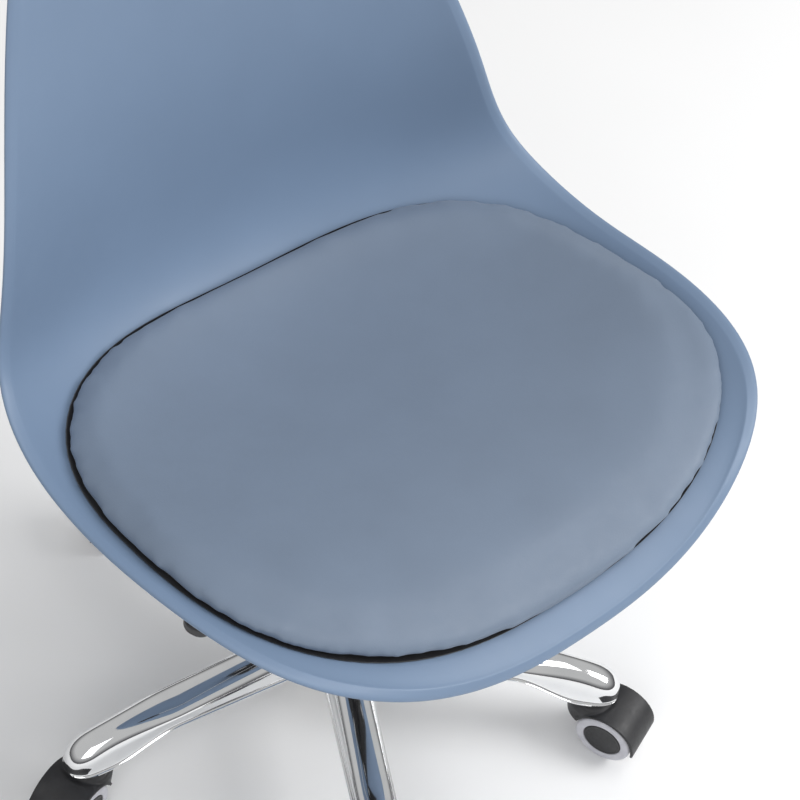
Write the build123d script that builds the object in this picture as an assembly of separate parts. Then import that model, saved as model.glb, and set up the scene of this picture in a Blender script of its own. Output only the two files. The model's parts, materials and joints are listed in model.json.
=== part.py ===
"""Swivel office chair: moulded bucket shell on a five-leg caster base with a gas lift.

Millimetres. Origin on the floor under the column axis, +Z up, the sitter faces -Y.
"""
from build123d import *
import os
from math import cos, pi, radians, sin

# ---------------------------------------------------------------- driving dimensions
# casters
WHEEL_RADIUS = 25.0
WHEEL_WIDTH = 14.0
WHEEL_INNER_FACE = 6.0        # from the caster's middle plane to a wheel's inner face
TREAD_DEPTH = 8.0
HUB_CAP = 2.0                 # closed outer skin over the axle's end
AXLE_RADIUS = 3.0
RUNNING_GAP = 0.05            # radial clearance of every turning or sliding fit
TRAIL = 22.8                  # stem axis to wheel axle
HOOD_GAP = 1.5
HOOD_WALL = 2.5
HOOD_SIDE_GAP = 1.0
HOOD_WEB_HALF = 5.0
WEB_BELOW_AXLE = 6.6
HOOD_REACH_DEG = 8.0          # the fender ends this far above the axle's level
COLLAR_RADIUS = 13.0
COLLAR_RISE = 2.0
TURRET_RADIUS = 20.5          # the round back of the hood, about the stem
TURRET_BOTTOM_RISE = 4.0      # its lower edge above the axle
TURRET_ROUND = 3.0
PIVOT_RADIUS = 4.0
PIVOT_ABOVE_AXLE = 5.0        # the stem's lower end over the axle
PIVOT_END_GAP = 1.0
FLANGE_RADIUS = 8.0
FLANGE_THICKNESS = 2.0
STEM_RADIUS = 5.5
STEM_LENGTH = 19.0
GRIP_RING_WIDTH = 2.0
GRIP_RING_DEPTH = 0.8
SOCKET_GAP = 0.3
SOCKET_WALL = 2.0
SOCKET_LENGTH = 20.0
CASTER_HEADINGS = (28.0, -70.0, -160.0, 155.0, 200.0)   # where each wheel pair points, from +X

# five-leg base
LEG_COUNT = 5
FIRST_LEG_ANGLE = -116.3      # leg_1, from +X; the next legs follow anticlockwise
NOSE_RADIUS = 239.0
STEM_INSET = 18.5             # leg tip to caster stem axis
LEG_RISE = 51.0               # leg top at the hub above the leg's end face
LEG_HALF_WIDTH = 17.0
LEG_WALL = 1.8
LEG_SLOPE = 13.0              # fall of the top from the hub to the bend
LEG_BEND_LENGTH = 89.0        # the top curves down over this length
LEG_NOSE_TOP = 5.0            # top of the tip above the leg's end face
LEG_ARCH = 22.0               # underside at the hub above the leg's end face
LEG_ARCH_LENGTH = 60.0
LEG_TAPER = 2.5
LEG_NOSE_ROUND = 22.0         # the tip rounds off over this length
LEG_CURVE_POWER = 2.3         # fullness of the curve over the bend and of the rounded tip
LEG_TIP_SHARE = 0.35          # width left at the very tip
LEG_SHOULDER = 0.45           # flat sides up to this share of a leg's height, then an arch
LEG_ARCH_START = 12.0         # the arched underside starts this far inside the caster stems
LEG_OPENING = 6.0             # the hollow under a leg is cut this far past its underside
LEG_SECTIONS = 15
LEG_SECTION_START = 0.10      # first section, as a share of the leg's reach
HUB_RADIUS = 31.0
HUB_HEIGHT = 56.0
HUB_LIP = 3.0                 # hub top above the legs

# gas lift
TUBE_RADIUS = 25.0
TUBE_WALL = 1.8
TUBE_TAPER = 0.8              # the column's lower end is this much smaller in radius
TUBE_BELOW_HUB = 17.0
TUBE_LENGTH = 195.0
TUBE_FLOOR = 3.0
BUSH_LENGTH = 70.0
BUSH_FLANGE = 3.0
BUSH_ENGAGED = 42.0           # length of cylinder left in the bush with the seat right up
SOCKET_CLEAR = 28.0           # seat socket above the bush flange with the seat right down
ROD_CLEAR = 0.2
CYLINDER_RADIUS = 14.0
CYLINDER_WALL = 3.0
CYLINDER_CAP = 6.0
CYLINDER_SEAL = 8.0
ROD_RADIUS = 5.0
PISTON_THICKNESS = 8.0
PISTON_HEADROOM = 20.0
LIFT_STROKE = 100.0
WASHER_THICKNESS = 2.0
BALL_RADIUS = 1.5
BALL_COUNT = 10
ROD_COLLAR_RADIUS = 8.0
ROD_COLLAR_HEIGHT = 4.0
CLIP_THICKNESS = 1.2
BUTTON_RADIUS = 4.0
BUTTON_RISE = 8.0

# telescopic dust cover
COVER_WALL = 1.5
COVER_GAP = 1.4
COVER_SEAT_GAP = 0.3          # between a sleeve's floor or roof and what it goes round
COVER_LOWER_LENGTH = 95.0
COVER_MIDDLE_LENGTH = 115.0
COVER_UPPER_LENGTH = 105.0
COVER_MIDDLE_LIFT = 12.0      # bottom of the middle sleeve above the hub at rest

# seat plate and lever
PLATE_LENGTH_X = 160.0
PLATE_LENGTH_Y = 130.0
PLATE_THICKNESS = 3.0
PLATE_CORNER = 18.0
BOLT_SPACING_X = 130.0
BOLT_SPACING_Y = 100.0
TAPER_SOCKET_WALL = 3.0
TAPER_SOCKET_LENGTH = 35.0
BOX_HALF_Y = 33.0
BOX_FRONT_X = 40.0
BOX_LEVER_X = 58.0
BOX_HEIGHT = 25.0
CYLINDER_PROUD = 4.0          # gas cylinder top above the box floor
LEVER_RADIUS = 4.0
LEVER_PIVOT = 48.0            # lever pivot from the column axis
LEVER_PIN_RADIUS = 2.5
LEVER_PIN_PROUD = 2.0
LEVER_TOUCH_GAP = 0.1
LEVER_BEND_X = 80.0           # the lever turns forward this far out from the column axis
LEVER_BEND_ANGLE = 24.0
LEVER_BEND_RADIUS = 25.0
LEVER_OUTER_RUN = 90.0        # bend to the rod's end inside the grip
GRIP_LENGTH = 54.0
GRIP_BORE = 28.0
GRIP_HALF_WIDTH = 11.0
GRIP_HALF_HEIGHT = 5.5

# moulded shell
SHELL_WIDTH = 480.0
SEAT_FRONT = 229.0            # column axis to front lip
BACK_REACH = 270.0            # column axis to the top edge of the back
BACK_HEIGHT = 468.0           # top edge of the back above the dish
SHELL_WALL = 5.0
BOSS_RADIUS = 11.0
BOSS_HEIGHT = 4.0             # plate top to the shell's underside at the middle
TRIM_TILT = 33.0              # the rim is trimmed square to a plane tilted back this much

# cushion
CUSHION_HALF_WIDTH = 226.0
CUSHION_FRONT = 205.0
CUSHION_BACK = 164.0
CUSHION_CORNER_POWER = 2.7
CUSHION_GAP = 3.0             # cushion underside above the shell
CUSHION_CROWN = 30.0          # height of the crown over the edge line
CUSHION_SKIN = 1.2
CUSHION_EDGE = 14.0           # edge height of the cushion above the shell
CUSHION_PROFILE_END = 0.56    # the cushion's back edge lies before this place on the shell's profile
BOARD_LENGTH_X = 160.0
BOARD_LENGTH_Y = 124.0
BOARD_THICKNESS = 9.0
BOARD_CORNER = 30.0
BOARD_CLEAR = 29.5            # board underside above the lowest point of the dish
BOLT_RADIUS = 3.0
BOLT_HEAD_RADIUS = 6.0
BOLT_HEAD_HEIGHT = 4.0
SPRING_WASHER = 1.6
NUT_RADIUS = 4.2
NUT_FLANGE_RADIUS = 9.0
NUT_FLANGE = 1.5

# ---------------------------------------------------------------- heights that follow
AXLE_Z = WHEEL_RADIUS
WHEEL_OUTER_FACE = WHEEL_INNER_FACE + WHEEL_WIDTH
HOOD_INNER = WHEEL_RADIUS + HOOD_GAP
HOOD_OUTER = HOOD_INNER + HOOD_WALL
COLLAR_TOP = AXLE_Z + HOOD_OUTER + COLLAR_RISE
PIVOT_BOTTOM = AXLE_Z + AXLE_RADIUS + PIVOT_ABOVE_AXLE
LEG_END_Z = COLLAR_TOP + FLANGE_THICKNESS
STEM_RING = NOSE_RADIUS - STEM_INSET
HUB_TOP = LEG_END_Z + LEG_RISE + HUB_LIP
HUB_BOTTOM = HUB_TOP - HUB_HEIGHT
TUBE_BOTTOM = HUB_BOTTOM - TUBE_BELOW_HUB
TUBE_TOP = TUBE_BOTTOM + TUBE_LENGTH
TUBE_BORE = TUBE_RADIUS - TUBE_WALL
LOWER_WASHER_Z = TUBE_BOTTOM + TUBE_FLOOR
BALL_Z = LOWER_WASHER_Z + WASHER_THICKNESS + BALL_RADIUS
UPPER_WASHER_Z = BALL_Z + BALL_RADIUS
ROD_SHOULDER_Z = UPPER_WASHER_Z + WASHER_THICKNESS
CYLINDER_BORE = CYLINDER_RADIUS - CYLINDER_WALL
SOCKET_Z = TUBE_TOP + BUSH_FLANGE + SOCKET_CLEAR
BOX_FLOOR_Z = SOCKET_Z + TAPER_SOCKET_LENGTH
CYLINDER_TOP = BOX_FLOOR_Z + PLATE_THICKNESS + CYLINDER_PROUD
BUSH_BOTTOM = TUBE_TOP - BUSH_LENGTH
CYLINDER_BOTTOM = TUBE_TOP - BUSH_ENGAGED - LIFT_STROKE
PISTON_TOP = CYLINDER_TOP - CYLINDER_CAP - PISTON_HEADROOM
BUTTON_TOP = CYLINDER_TOP + BUTTON_RISE
LEVER_Z = BUTTON_TOP + LEVER_TOUCH_GAP + LEVER_RADIUS
PLATE_Z = BOX_FLOOR_Z + PLATE_THICKNESS + BOX_HEIGHT
PLATE_TOP = PLATE_Z + PLATE_THICKNESS
DISH_Z = PLATE_TOP + BOSS_HEIGHT + SHELL_WALL
BOARD_Z = DISH_Z + BOARD_CLEAR

# ---------------------------------------------------------------- the shell's form
LIP_HEIGHT = 40.0             # front edge above the dish
KNEE_HEIGHT = 65.0            # control height of the roll behind the front edge
# Control points of the centre profile, front lip to top edge, as (y, z).
PROFILE = [
    (-SEAT_FRONT, DISH_Z + LIP_HEIGHT),
    (-0.88 * SEAT_FRONT, DISH_Z + KNEE_HEIGHT),
    (-0.66 * SEAT_FRONT, DISH_Z + 0.8 * KNEE_HEIGHT),
    (0.0, DISH_Z),
    (0.36 * BACK_REACH, DISH_Z - 5.0),
    (0.68 * BACK_REACH, DISH_Z + 0.07 * BACK_HEIGHT),
    (0.72 * BACK_REACH, DISH_Z + 0.30 * BACK_HEIGHT),
    (0.82 * BACK_REACH, DISH_Z + 0.58 * BACK_HEIGHT),
    (0.95 * BACK_REACH, DISH_Z + 0.82 * BACK_HEIGHT),
    (BACK_REACH, DISH_Z + BACK_HEIGHT),
]
# Control values along the same profile: how far the sides rise at full width, and the direction
# they rise in, in degrees from +Y: 90 is straight up and 180 is towards the sitter.
SIDE_LIFT = [20.0, 45.0, 75.0, 75.0, 80.0, 90.0, 90.0, 55.0, 30.0, 25.0]
LIFT_ANGLE = [95.0, 95.0, 90.0, 85.0, 100.0, 130.0, 150.0, 160.0, 170.0, 170.0]
LIFT_POWER = 2.2
# Control values of the outline's half width along the profile, as shares of half the shell's width.
OUTLINE = [1.0, 1.0, 1.0, 1.0, 0.92, 0.76, 0.70, 0.70]
FRONT_ROUND_END = 0.31        # the front corners round off over this share of the profile
TOP_ROUND_START = 0.66        # and the top corners from here to the top edge
FRONT_POWER = 2.5
TOP_POWER = 2.7


def blend(values, t):
    """Clamped uniform cubic B-spline through control values, t from 0 to 1."""
    degree = 3
    spans = len(values) - degree
    position = min(max(t, 0.0), 1.0) * spans
    span = min(int(position), spans - 1)
    knots = [min(max(i - degree, 0), spans) for i in range(len(values) + degree + 1)]
    points = [values[span + i] for i in range(degree + 1)]
    for level in range(1, degree + 1):
        for j in range(degree, level - 1, -1):
            low = knots[span + j]
            high = knots[span + j + degree - level + 1]
            share = (position - low) / (high - low)
            points[j] = (1 - share) * points[j - 1] + share * points[j]
    return points[degree]


def shell_point(x, t):
    """Point of the shell's upper face at lateral place x and profile place t."""
    lift = blend(SIDE_LIFT, t) * (abs(x) / (SHELL_WIDTH / 2)) ** LIFT_POWER
    angle = radians(blend(LIFT_ANGLE, t))
    y = blend([p[0] for p in PROFILE], t) + lift * cos(angle)
    z = blend([p[1] for p in PROFILE], t) + lift * sin(angle)
    return Vector(x, y, z)


def shell_normal(x, t):
    """Unit normal of the upper face, pointing to the sitter."""
    step = 0.004
    along = shell_point(x, min(t + step, 1.0)) - shell_point(x, max(t - step, 0.0))
    across = shell_point(x + 1.0, t) - shell_point(x - 1.0, t)
    return across.cross(along).normalized()


def rim_place(turn):
    """(x, t) on the rim; turn runs from 0 at the front middle to 1 at the top middle."""
    front_share = 0.35
    top_share = 0.65
    if turn < front_share:
        angle = turn / front_share * pi / 2
        t = FRONT_ROUND_END * (1 - cos(angle) ** (2 / FRONT_POWER))
        narrowing = sin(angle) ** (2 / FRONT_POWER)
    elif turn < top_share:
        share = (turn - front_share) / (top_share - front_share)
        t = FRONT_ROUND_END + (TOP_ROUND_START - FRONT_ROUND_END) * share
        narrowing = 1.0
    else:
        angle = (turn - top_share) / (1 - top_share) * pi / 2
        t = TOP_ROUND_START + (1 - TOP_ROUND_START) * sin(angle) ** (2 / TOP_POWER)
        narrowing = max(cos(angle), 0.0) ** (2 / TOP_POWER)
    return narrowing * blend(OUTLINE, t) * SHELL_WIDTH / 2, t


def surface_face(offset, t_end=1.0, rows=19, columns=13, margin=1.05):
    """Spline face above the shell's upper face; offset(x, t) is the distance along the normal."""
    half = SHELL_WIDTH / 2 * margin
    grid = []
    for i in range(rows):
        t = t_end * i / (rows - 1)
        row = []
        for j in range(columns):
            x = half * (2 * j / (columns - 1) - 1)
            row.append(shell_point(x, t) + shell_normal(x, t) * offset(x, t))
        grid.append(row)
    return Face.make_surface_from_array_of_points(grid, tol=0.2)


def on_surface(x, t):
    return 0.0


def rim_prism():
    """Solid whose wall trims the shell to its outline, square to the tilted plane."""
    tilt = radians(TRIM_TILT)
    plane = Plane(origin=(0, 0, DISH_Z), x_dir=(1, 0, 0), z_dir=(0, -sin(tilt), cos(tilt)))
    steps = 22
    half = []
    for i in range(1, steps):
        half.append(plane.to_local_coords(shell_point(*rim_place(i / steps))))
    first = plane.to_local_coords(shell_point(0, 0))
    last = plane.to_local_coords(shell_point(0, 1))
    points = [(0, first.Y)] + [(p.X, p.Y) for p in half] + [(0, last.Y)]
    points += [(-p.X, p.Y) for p in reversed(half)]
    wire = Spline(*points, periodic=True)
    reach = SEAT_FRONT + BACK_REACH + BACK_HEIGHT
    return extrude(plane * make_face(wire), amount=reach / 2, both=True)


# ---------------------------------------------------------------- small helpers
def ring(outer, inner, bottom, top):
    """Round sleeve on the Z axis."""
    body = Cylinder(outer, top - bottom) - Cylinder(inner, top - bottom)
    return Pos(0, 0, (bottom + top) / 2) * body


def disc(radius, bottom, top):
    """Round solid bar on the Z axis."""
    return Pos(0, 0, (bottom + top) / 2) * Cylinder(radius, top - bottom)


def cross_bar(radius, start, end, height):
    """Round bar along Y at a given height, from start to end."""
    return Pos(0, (start + end) / 2, height) * Rot(90, 0, 0) * Cylinder(radius, abs(end - start))


def slab(length_x, length_y, corner, bottom, top):
    """Flat plate with rounded corners."""
    return Pos(0, 0, bottom) * extrude(RectangleRounded(length_x, length_y, corner), amount=top - bottom)


def around(radius, angle):
    """Place on a circle about the column axis, turned to face outwards."""
    return Rot(0, 0, angle) * Pos(radius, 0, 0)


def leg_angle(index):
    return FIRST_LEG_ANGLE + 360.0 / LEG_COUNT * index


def bolt_places():
    return [(sx * BOLT_SPACING_X / 2, sy * BOLT_SPACING_Y / 2) for sx in (-1, 1) for sy in (-1, 1)]


# ---------------------------------------------------------------- five-leg base
def leg_station(place):
    """One cross-section of a leg: top and bottom above the leg's end face, and half width."""
    bend = NOSE_RADIUS - LEG_BEND_LENGTH
    slope = LEG_SLOPE * (place - HUB_RADIUS) / (bend - HUB_RADIUS)
    top = LEG_RISE - min(slope, LEG_SLOPE)
    if place > bend:
        share = (place - bend) / LEG_BEND_LENGTH
        curve = (1 - share ** LEG_CURVE_POWER) ** (1 / LEG_CURVE_POWER)
        top = LEG_NOSE_TOP + (top - LEG_NOSE_TOP) * curve
    arch_share = min(max((STEM_RING - LEG_ARCH_START - place) / LEG_ARCH_LENGTH, 0.0), 1.0)
    bottom = LEG_ARCH * arch_share * arch_share * (3 - 2 * arch_share)
    half = LEG_HALF_WIDTH - LEG_TAPER * place / NOSE_RADIUS
    tip = (place - (NOSE_RADIUS - LEG_NOSE_ROUND)) / LEG_NOSE_ROUND
    if tip > 0:
        rounding = max(1 - tip ** LEG_CURVE_POWER, 0.0) ** (1 / LEG_CURVE_POWER)
        half *= LEG_TIP_SHARE + (1 - LEG_TIP_SHARE) * rounding
    return top, bottom, half


def leg_loft(inset, drop):
    """Arched leg form; inset thins it on its sides and top, drop opens its underside."""
    profiles = []
    for index in range(LEG_SECTIONS):
        ease = sin(pi / 2 * index / (LEG_SECTIONS - 1))
        place = NOSE_RADIUS * (LEG_SECTION_START + (1 - LEG_SECTION_START) * ease)
        top, bottom, half = leg_station(max(place, HUB_RADIUS))
        half_width = half - inset
        high = LEG_END_Z + top - inset
        low = LEG_END_Z + bottom - drop
        shoulder = low + LEG_SHOULDER * (high - low)
        plane = Plane(origin=(place, 0, 0), x_dir=(0, 1, 0), z_dir=(1, 0, 0))
        base = Line((half_width, low), (-half_width, low))
        left = Line((-half_width, low), (-half_width, shoulder))
        arch = EllipticalCenterArc((0, shoulder), half_width, high - shoulder, start_angle=0, arc_size=180)
        right = Line((half_width, shoulder), (half_width, low))
        profiles.append(plane * make_face([base, left, arch, right]))
    return loft(profiles, ruled=True)


def make_leg():
    outer = leg_loft(0.0, 0.0)
    inner = Pos(-LEG_WALL, 0, 0) * leg_loft(LEG_WALL, LEG_OPENING)
    leg = outer - inner - disc(HUB_RADIUS, 0, 2 * HUB_TOP)
    return max(leg.solids(), key=lambda s: s.volume)


def make_hub():
    low = TUBE_RADIUS - TUBE_TAPER
    slope = TUBE_TAPER / (HUB_TOP - TUBE_BOTTOM)
    bore_bottom = low + slope * (HUB_BOTTOM - TUBE_BOTTOM)
    outline = Polyline(
        (bore_bottom, HUB_BOTTOM),
        (HUB_RADIUS, HUB_BOTTOM),
        (HUB_RADIUS, HUB_TOP),
        (TUBE_RADIUS, HUB_TOP),
        close=True,
    )
    return revolve(Plane.XZ * make_face(outline), Axis.Z)


def make_sockets():
    bore = STEM_RADIUS + SOCKET_GAP
    one = ring(bore + SOCKET_WALL, bore, LEG_END_Z, LEG_END_Z + SOCKET_LENGTH)
    return [around(STEM_RING, leg_angle(i)) * one for i in range(LEG_COUNT)]


def grip_ring_z():
    return LEG_END_Z + 0.75 * STEM_LENGTH


def make_stems():
    shank = disc(STEM_RADIUS, LEG_END_Z, LEG_END_Z + STEM_LENGTH)
    groove = ring(
        STEM_RADIUS + 1.0, STEM_RADIUS - GRIP_RING_DEPTH,
        grip_ring_z() - GRIP_RING_WIDTH / 2, grip_ring_z() + GRIP_RING_WIDTH / 2,
    )
    flange = disc(FLANGE_RADIUS, COLLAR_TOP, LEG_END_Z)
    pivot = disc(PIVOT_RADIUS, PIVOT_BOTTOM, COLLAR_TOP)
    one = (shank - groove) + flange + pivot
    return [around(STEM_RING, leg_angle(i)) * one for i in range(LEG_COUNT)]


def make_grip_rings():
    low = grip_ring_z() - GRIP_RING_WIDTH / 2
    full = ring(STEM_RADIUS + SOCKET_GAP, STEM_RADIUS - GRIP_RING_DEPTH, low, low + GRIP_RING_WIDTH)
    split = Pos(STEM_RADIUS, 0, grip_ring_z()) * Box(2 * STEM_RADIUS, 1.5, 2 * GRIP_RING_WIDTH)
    return [around(STEM_RING, leg_angle(i)) * (full - split) for i in range(LEG_COUNT)]


# ---------------------------------------------------------------- casters
# Modelled with the stem axis on Z and the wheels towards +X, then turned and placed.
def fender_sector(outer, inner, half_width):
    """Curved band over the wheels, open below a level just above the axle."""
    band = cross_bar(outer, -half_width, half_width, 0) - cross_bar(inner, -half_width, half_width, 0)
    reach = 4 * outer
    below = Pos(0, 0, outer * sin(radians(HOOD_REACH_DEG)) - reach / 2) * Box(reach, reach, reach)
    return Pos(TRAIL, 0, AXLE_Z) * (band - below)


def make_hood():
    half_width = WHEEL_OUTER_FACE + HOOD_SIDE_GAP
    fender = fender_sector(HOOD_OUTER, HOOD_INNER, half_width)
    reach = 4 * HOOD_OUTER
    web = cross_bar(HOOD_INNER + HOOD_WALL / 5, -HOOD_WEB_HALF, HOOD_WEB_HALF, 0)
    web -= Pos(0, 0, -WEB_BELOW_AXLE - reach / 2) * Box(reach, reach, reach)
    turret_top = COLLAR_TOP - COLLAR_RISE
    turret = disc(TURRET_RADIUS, AXLE_Z + TURRET_BOTTOM_RISE, turret_top)
    turret = fillet(turret.edges().group_by(Axis.Z)[-1], TURRET_ROUND)
    turret += disc(COLLAR_RADIUS, turret_top, COLLAR_TOP)
    wheel_room = cross_bar(HOOD_INNER, -half_width, half_width, 0)
    wheel_room -= cross_bar(HOOD_INNER, -HOOD_WEB_HALF, HOOD_WEB_HALF, 0)
    hood = fender + Pos(TRAIL, 0, AXLE_Z) * web + (turret - Pos(TRAIL, 0, AXLE_Z) * wheel_room)
    hood -= disc(PIVOT_RADIUS + RUNNING_GAP, PIVOT_BOTTOM - PIVOT_END_GAP, COLLAR_TOP)
    hood -= Pos(TRAIL, 0, 0) * cross_bar(AXLE_RADIUS, -half_width, half_width, AXLE_Z)
    return max(hood.solids(), key=lambda s: s.volume)


def make_axle():
    half = WHEEL_OUTER_FACE - HUB_CAP - 0.5
    return Pos(TRAIL, 0, 0) * cross_bar(AXLE_RADIUS, -half, half, AXLE_Z)


def make_wheel(side):
    inner, outer = side * WHEEL_INNER_FACE, side * WHEEL_OUTER_FACE
    rim = WHEEL_RADIUS - TREAD_DEPTH
    body = cross_bar(rim, inner, outer, AXLE_Z)
    body -= cross_bar(AXLE_RADIUS + RUNNING_GAP, inner, outer - side * HUB_CAP, AXLE_Z)
    boss = AXLE_RADIUS + 3.0
    pocket = cross_bar(rim - 2.5, inner, outer - side * HUB_CAP * 1.5, AXLE_Z)
    pocket -= cross_bar(boss, inner, outer, AXLE_Z)
    return Pos(TRAIL, 0, 0) * (body - pocket)


def make_tread(side):
    inner, outer = side * WHEEL_INNER_FACE, side * WHEEL_OUTER_FACE
    tread = cross_bar(WHEEL_RADIUS, inner, outer, AXLE_Z)
    tread = fillet(tread.edges().filter_by(GeomType.CIRCLE), TREAD_DEPTH * 0.4)
    tread -= cross_bar(WHEEL_RADIUS - TREAD_DEPTH, inner, outer, AXLE_Z)
    return Pos(TRAIL, 0, 0) * tread


def caster_place(index):
    stem = around(STEM_RING, leg_angle(index))
    return Pos(*stem.position) * Rot(0, 0, CASTER_HEADINGS[index])


# ---------------------------------------------------------------- gas lift and dust cover
def make_column_tube():
    low = TUBE_RADIUS - TUBE_TAPER
    outline = Polyline(
        (ROD_RADIUS + ROD_CLEAR, TUBE_BOTTOM),
        (low, TUBE_BOTTOM),
        (TUBE_RADIUS, HUB_TOP),
        (TUBE_RADIUS, TUBE_TOP),
        (TUBE_BORE, TUBE_TOP),
        (TUBE_BORE, BUSH_BOTTOM),
        (TUBE_BORE - TUBE_TAPER, HUB_TOP),
        (TUBE_BORE - TUBE_TAPER, LOWER_WASHER_Z),
        (ROD_RADIUS + ROD_CLEAR, LOWER_WASHER_Z),
        close=True,
    )
    return revolve(Plane.XZ * make_face(outline), Axis.Z)


def make_guide_bush():
    sleeve = ring(TUBE_BORE, CYLINDER_RADIUS + RUNNING_GAP, BUSH_BOTTOM, TUBE_TOP)
    flange = ring(TUBE_RADIUS, CYLINDER_RADIUS + RUNNING_GAP, TUBE_TOP, TUBE_TOP + BUSH_FLANGE)
    return sleeve + flange


def bearing_ring_radius():
    return (ROD_RADIUS + TUBE_BORE - TUBE_TAPER) / 2 - 1.0


def make_bearing_washers():
    outer = bearing_ring_radius() + 3.5
    inner = ROD_RADIUS + ROD_CLEAR
    lower = ring(outer, inner, LOWER_WASHER_Z, LOWER_WASHER_Z + WASHER_THICKNESS)
    upper = ring(outer, inner, UPPER_WASHER_Z, ROD_SHOULDER_Z)
    return [lower, upper]


def make_bearing_balls():
    ball = Sphere(BALL_RADIUS)
    return [Pos(*around(bearing_ring_radius(), 360 / BALL_COUNT * i).position) * Pos(0, 0, BALL_Z) * ball
            for i in range(BALL_COUNT)]


def make_piston_rod():
    rod = disc(ROD_RADIUS, TUBE_BOTTOM - 3 * CLIP_THICKNESS, PISTON_TOP)
    collar = disc(ROD_COLLAR_RADIUS, ROD_SHOULDER_Z, ROD_SHOULDER_Z + ROD_COLLAR_HEIGHT)
    head = disc(CYLINDER_BORE - RUNNING_GAP, PISTON_TOP - PISTON_THICKNESS, PISTON_TOP)
    return rod + collar + head - clip_ring(ROD_RADIUS + 1.0)


def clip_ring(outer):
    top = TUBE_BOTTOM - 0.5 * CLIP_THICKNESS
    return ring(outer, ROD_RADIUS - 1.0, top - CLIP_THICKNESS, top)


def make_rod_clip():
    outer = ROD_RADIUS + 3.5
    split = Pos(outer, 0, TUBE_BOTTOM) * Box(2 * outer, 5.0, 6 * CLIP_THICKNESS)
    return clip_ring(outer) - split


def make_gas_cylinder():
    body = disc(CYLINDER_RADIUS, CYLINDER_BOTTOM, CYLINDER_TOP)
    bore = disc(CYLINDER_BORE, CYLINDER_BOTTOM + CYLINDER_SEAL, CYLINDER_TOP - CYLINDER_CAP)
    rod_hole = disc(ROD_RADIUS + RUNNING_GAP, CYLINDER_BOTTOM, CYLINDER_BOTTOM + CYLINDER_SEAL)
    button_hole = disc(BUTTON_RADIUS + RUNNING_GAP, CYLINDER_TOP - CYLINDER_CAP, CYLINDER_TOP)
    return body - bore - rod_hole - button_hole


def make_release_button():
    button = disc(BUTTON_RADIUS, CYLINDER_TOP - CYLINDER_CAP - 1.0, BUTTON_TOP)
    return chamfer(button.edges().group_by(Axis.Z)[-1], 1.0)


def cover_sleeve(inner, bottom, top, rest_bottom=0.0, lip_top=0.0):
    """Thin sleeve with an optional inward floor or roof that ends at the given radius."""
    sleeve = ring(inner + COVER_WALL, inner, bottom, top)
    if rest_bottom:
        sleeve += ring(inner + COVER_WALL, rest_bottom, bottom, bottom + COVER_WALL)
    if lip_top:
        sleeve += ring(inner + COVER_WALL, lip_top, top - COVER_WALL, top)
    return sleeve


def cover_inner(stage):
    """Inner radius of a cover sleeve: 0 upper, 1 middle, 2 lower."""
    return TUBE_RADIUS + COVER_GAP + stage * (COVER_WALL + COVER_GAP)


def make_cover_upper():
    bottom = SOCKET_Z - COVER_UPPER_LENGTH
    return cover_sleeve(cover_inner(0), bottom, SOCKET_Z, lip_top=CYLINDER_RADIUS + COVER_SEAT_GAP)


def make_cover_middle():
    bottom = HUB_TOP + COVER_MIDDLE_LIFT
    return cover_sleeve(cover_inner(1), bottom, bottom + COVER_MIDDLE_LENGTH)


def make_cover_lower():
    top = HUB_TOP + COVER_LOWER_LENGTH
    return cover_sleeve(cover_inner(2), HUB_TOP, top, rest_bottom=TUBE_RADIUS + COVER_SEAT_GAP)


# ---------------------------------------------------------------- seat plate and lever
def make_seat_plate():
    plate = slab(PLATE_LENGTH_X, PLATE_LENGTH_Y, PLATE_CORNER, PLATE_Z, PLATE_TOP)
    for x, y in bolt_places():
        plate -= Pos(x, y, 0) * disc(BOLT_RADIUS + 0.4, PLATE_Z, PLATE_TOP)
    length = BOX_FRONT_X + BOX_LEVER_X
    middle = (BOX_FRONT_X - BOX_LEVER_X) / 2
    box_top = PLATE_Z
    height = box_top - BOX_FLOOR_Z
    channel = Pos(middle, 0, BOX_FLOOR_Z + height / 2) * Box(length, 2 * BOX_HALF_Y, height)
    hollow_height = height - PLATE_THICKNESS
    channel -= Pos(middle, 0, BOX_FLOOR_Z + PLATE_THICKNESS + hollow_height / 2) * Box(
        length, 2 * (BOX_HALF_Y - PLATE_THICKNESS), hollow_height
    )
    socket = disc(CYLINDER_RADIUS + TAPER_SOCKET_WALL, SOCKET_Z, BOX_FLOOR_Z)
    bore = disc(CYLINDER_RADIUS, SOCKET_Z, BOX_FLOOR_Z + PLATE_THICKNESS)
    pin = cross_bar(LEVER_PIN_RADIUS + RUNNING_GAP, -BOX_HALF_Y, BOX_HALF_Y, LEVER_Z)
    return plate + channel + socket - bore - Pos(-LEVER_PIVOT, 0, 0) * pin


def lever_end(run):
    """Point on the lever's outer run, this far past its bend."""
    turn = radians(LEVER_BEND_ANGLE)
    return Vector(-LEVER_BEND_X - run * cos(turn), -run * sin(turn), LEVER_Z)


def make_lever_rod():
    """Bent rod over the release button, with its cross pin."""
    line = FilletPolyline(
        Vector(BUTTON_RADIUS, 0, LEVER_Z), Vector(-LEVER_BEND_X, 0, LEVER_Z), lever_end(LEVER_OUTER_RUN),
        radius=LEVER_BEND_RADIUS,
    )
    section = Plane(origin=line @ 0, z_dir=line % 0) * Circle(LEVER_RADIUS)
    pin_half = BOX_HALF_Y + LEVER_PIN_PROUD
    pin = Pos(-LEVER_PIVOT, 0, 0) * cross_bar(LEVER_PIN_RADIUS, -pin_half, pin_half, LEVER_Z)
    return sweep(section, path=line) + pin


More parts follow.
